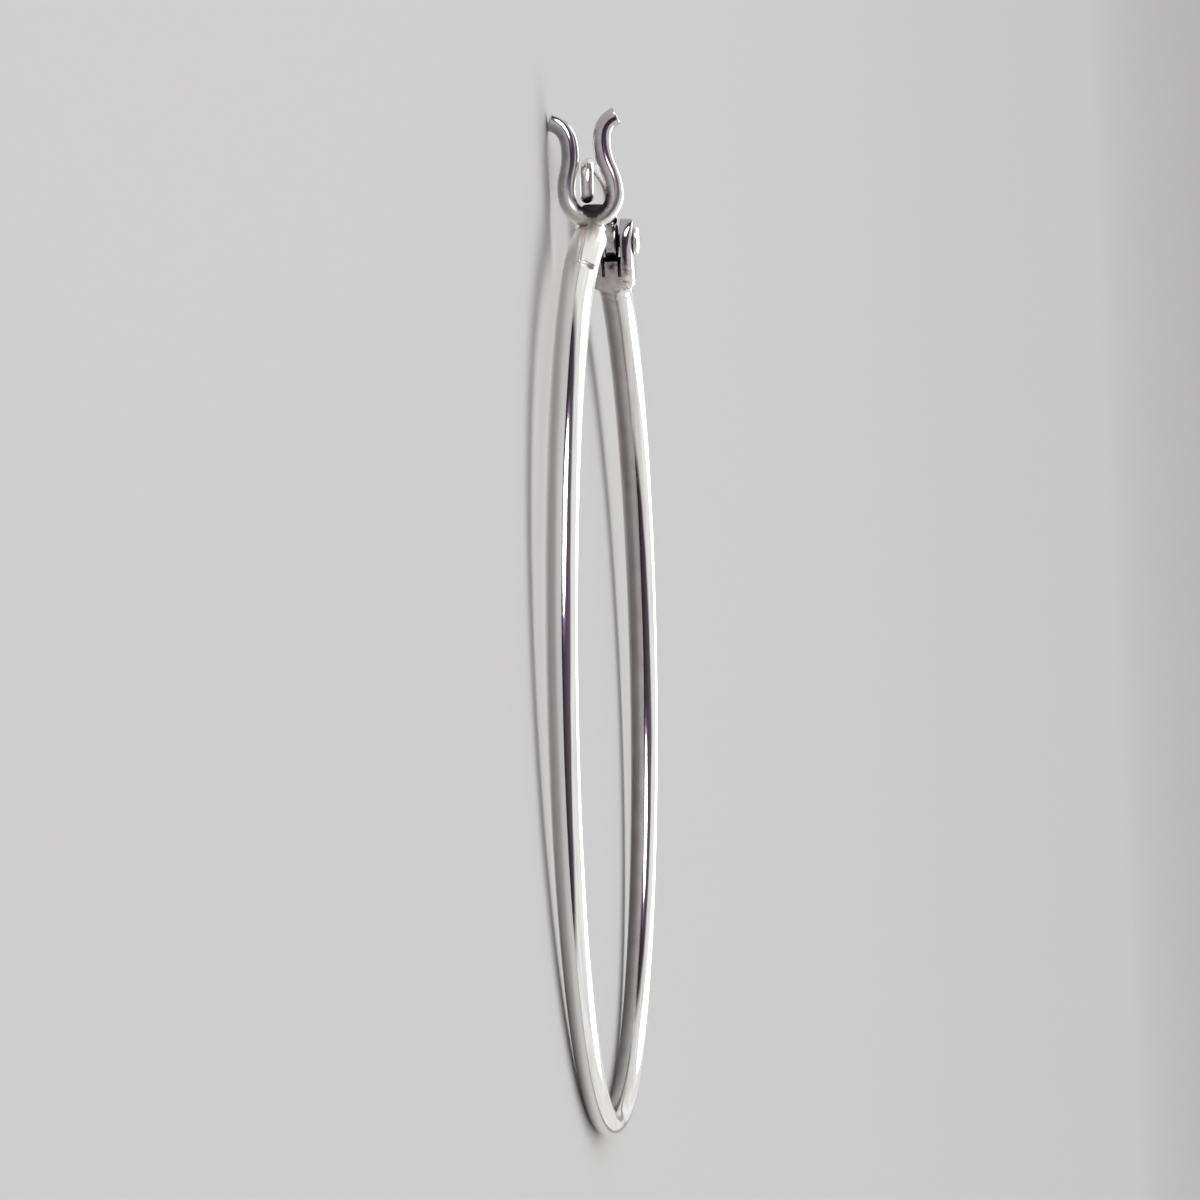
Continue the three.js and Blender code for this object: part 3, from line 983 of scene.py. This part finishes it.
wire = grow("wire", sweeper, path_curve("wire_path", ear_wire_knots()), width=wire_dia,
            thickness=wire_dia, corner=wire_dia * 0.4995, corner_steps=7, rounding=wire_dia / 2,
            stations=280, material=drawn)
eye = turned("eye", soft_disc(eye_dia / 2, eye_thickness, 0.14 * MM), 72, drawn)
eye_bore = turned("eye_bore", [(0, -eye_dia), (bore_radius, -eye_dia), (bore_radius, eye_dia),
                               (0, eye_dia)], 72, drawn)
ear_wire_body = joined("ear_wire_body", joined("wire_and_eye", wire, [eye], "UNION"), [eye_bore],
                       "DIFFERENCE")
settle(ear_wire_body, 40)
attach(ear_wire_body, "ear_wire")
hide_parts("ear_wire")
print("ear wire:", len(ear_wire_body.data.polygons), "faces,",
      [round(size / MM, 2) for size in ear_wire_body.dimensions], "mm")

# %% [markdown]
# ## The rivet
# The pin is a rivet: a short wire whose two ends are hammered over to low domes. A cylinder with two
# flattened spheres would come close, but a turned profile also has the flat seat under each head. Then
# the domes get the shallow facets that the hammer leaves, by moving their points a few hundredths of a
# millimetre with noise. Noise is fixed in space, so it comes out the same each run.

# %% Rivet
def rivet_profile():
    seat = fork_width / 2 + head_fit
    edge = head_height * 0.35
    dome = []
    for step in range(9):
        angle = math.pi / 2 * step / 8
        dome.append((head_dia / 2 * math.cos(angle) ** 0.75,
                     seat + edge + (head_height - edge) * math.sin(angle)))
    dome[-1] = (0, seat + head_height)
    half = [(pin_dia / 2, seat), (head_dia / 2 - 0.05 * MM, seat), (head_dia / 2, seat + 0.05 * MM), *dome]
    return [(radius, -height) for radius, height in reversed(half)] + half


rivet = turned("rivet", rivet_profile(), 64, filed)
for vertex in rivet.data.vertices:
    from_pin = vertex.co - pin_on_bench
    if abs(from_pin.z) > fork_width / 2 + head_fit + 0.06 * MM:
        vertex.co.z += math.copysign(0.03 * MM, from_pin.z) * (noise.noise(vertex.co / (0.55 * MM)) - 0.3)
settle(rivet, 35)
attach(rivet, "hoop")
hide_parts("hinge_pin")
print("rivet:", len(rivet.data.polygons), "faces")

# %% [markdown]
# ## The table and the studio
# The earring lies on a wide, plain, pale table. Far out the table curves up into a low rim all round,
# so the picture has no hard edge from any side. What the silver mirrors is the studio: a white tent
# with slightly uneven walls, open in front, where the unlit room behind the camera shows. That dark
# opening draws the pointed dark stripe along the middle of the tube. How high and how wide it is, and
# how far it lies to one side, follow from where the stripe begins and ends on the real hoop, because a
# mirror that turns by one degree looks two degrees further.
#
# One lamp stands in the dark room, with a violet glow round it. It draws the white streak in the
# stripe. The main light comes through the tent from behind, wide and soft. It lays the tube's own
# shadow on the table in front of it, and the lower half of the tube mirrors that shadow: this gives the
# silver its dark side. All of this could be built from lit boards. Only the lamp is an object here:
# room, tent and main light are painted into the world by direction, so that no board has to stand
# clear of the table or of a camera that looks from another side.

# %% Studio sizes
room_height = math.radians(70)
room_half_width = math.radians(88)
room_bearing = math.radians(17)
tent_light = 0.8
back_light = 4.4
back_elevation = math.radians(42)
back_half_width = math.radians(50)
back_half_height = math.radians(15)
lamp_bearing = math.radians(41)
lamp_half_width = math.radians(24)
lamp_elevation = math.radians(23)
lamp_half_height = math.radians(11)
lamp_distance = 1.0
lamp_power = 4.0
room_wall = (0.012, 0.011, 0.014)
room_ceiling = (0.15, 0.115, 0.16)
lamp_glow = (0.4, 0.24, 0.47)

# %% Table
def studio_floor(flat_radius, rim_radius, rim_slope, steps):
    """A round table whose edge curves up into a low rim, by turning its profile about +Z."""
    arc = [(flat_radius + rim_radius * math.sin(angle), rim_radius * (1 - math.cos(angle)))
           for angle in (math.radians(rim_slope * step / 24) for step in range(25))]
    profile = [(flat_radius * 0.5, 0.0), *arc]
    mesh = bpy.data.meshes.new("table")
    shell = bmesh.new()
    rings = []
    for radius, height in profile:
        rings.append([shell.verts.new((radius * math.cos(math.tau * step / steps),
                                       radius * math.sin(math.tau * step / steps), height))
                      for step in range(steps)])
    shell.faces.new(rings[0])
    for inner, outer in zip(rings, rings[1:]):
        for step in range(steps):
            after = (step + 1) % steps
            shell.faces.new((inner[step], outer[step], outer[after], inner[after]))
    bmesh.ops.recalc_face_normals(shell, faces=shell.faces)
    shell.to_mesh(mesh)
    shell.free()
    mesh.shade_smooth()
    table = bpy.data.objects.new("table", mesh)
    bpy.context.scene.collection.objects.link(table)
    return table


table = studio_floor(flat_radius=12, rim_radius=8, rim_slope=35, steps=128)
pale = bpy.data.materials.new("pale_table")
pale.use_nodes = True
table_paint = pale.node_tree.nodes["Principled BSDF"]
table_paint.inputs["Base Color"].default_value = (0.48, 0.478, 0.474, 1)
table_paint.inputs["Roughness"].default_value = 0.8
table.data.materials.append(pale)
print("table:", [round(size, 1) for size in table.dimensions], "m")

# %% Room, tent and main light
world = bpy.data.worlds.new("studio")
bpy.context.scene.world = world
world.use_nodes = True
sky = Graph(world.node_tree)
direction = sky.node("ShaderNodeTexCoord").outputs["Generated"]
parts = sky.node("ShaderNodeSeparateXYZ", {}, {0: direction}).outputs
sky_x, sky_y, sky_z = (Num(sky, part) for part in parts)
elevation = sky.maths("ARCSINE", sky_z)
bearing = sky.maths("ARCTAN2", sky_y, 0 - sky_x)  # 0 towards -X, growing towards +Y
behind = sky.maths("ARCTAN2", sky_y, sky_x)  # 0 towards +X
from_middle = sky.maths("SQRT", ((bearing - room_bearing) / room_half_width) ** 2
                        + (elevation / room_height) ** 2)
tent = sky.clamp((from_middle - 0.92) / 0.16)
room = blend(sky, sky.clamp(elevation / room_height), room_wall, room_ceiling)
from_lamp = sky.maths("SQRT", ((bearing - lamp_bearing) / lamp_half_width) ** 2
                      + ((elevation - lamp_elevation) / lamp_half_height) ** 2)
lit_room = blend(sky, sky.clamp((1.5 - from_lamp) / 0.5), room, lamp_glow)
ripples = texture(sky, sky.vector(sky_x, sky_y, sky_z * 2.5), 0.3, 3.0, 0.55)
tent_wall = sky.node("ShaderNodeCombineColor", {}, {
    0: tent_light * (0.62 + ripples * 0.74),
    1: tent_light * (0.62 + ripples * 0.74),
    2: tent_light * (0.6 + ripples * 0.74),
}).outputs[0]
from_back = sky.maths("SQRT", (behind / back_half_width) ** 2
                      + ((elevation - back_elevation) / back_half_height) ** 2)
lit_tent = blend(sky, sky.clamp((1.15 - from_back) / 0.3), tent_wall, (back_light, back_light, back_light))
sky.feed(world.node_tree.nodes["Background"].inputs["Color"], blend(sky, tent, lit_room, lit_tent))


# %% Lamp
def softbox(name, place, target, width, height, power):
    light = bpy.data.lights.new(name, "AREA")
    light.shape = "ELLIPSE"
    light.size = width
    light.size_y = height
    light.energy = power
    lamp = bpy.data.objects.new(name, light)
    bpy.context.scene.collection.objects.link(lamp)
    lamp.location = place
    lamp.rotation_euler = (target - place).to_track_quat("-Z", "Y").to_euler()


lamp_place = lamp_distance * Vector((-math.cos(lamp_elevation) * math.cos(lamp_bearing),
                                     math.cos(lamp_elevation) * math.sin(lamp_bearing),
                                     math.sin(lamp_elevation)))
softbox("lamp", lamp_place, hoop_centre, 2 * lamp_distance * math.tan(lamp_half_width),
        2 * lamp_distance * math.tan(lamp_half_height), lamp_power)
bpy.context.scene.view_settings.view_transform = "Standard"
print("lamp at", [round(value, 3) for value in lamp_place], "m")
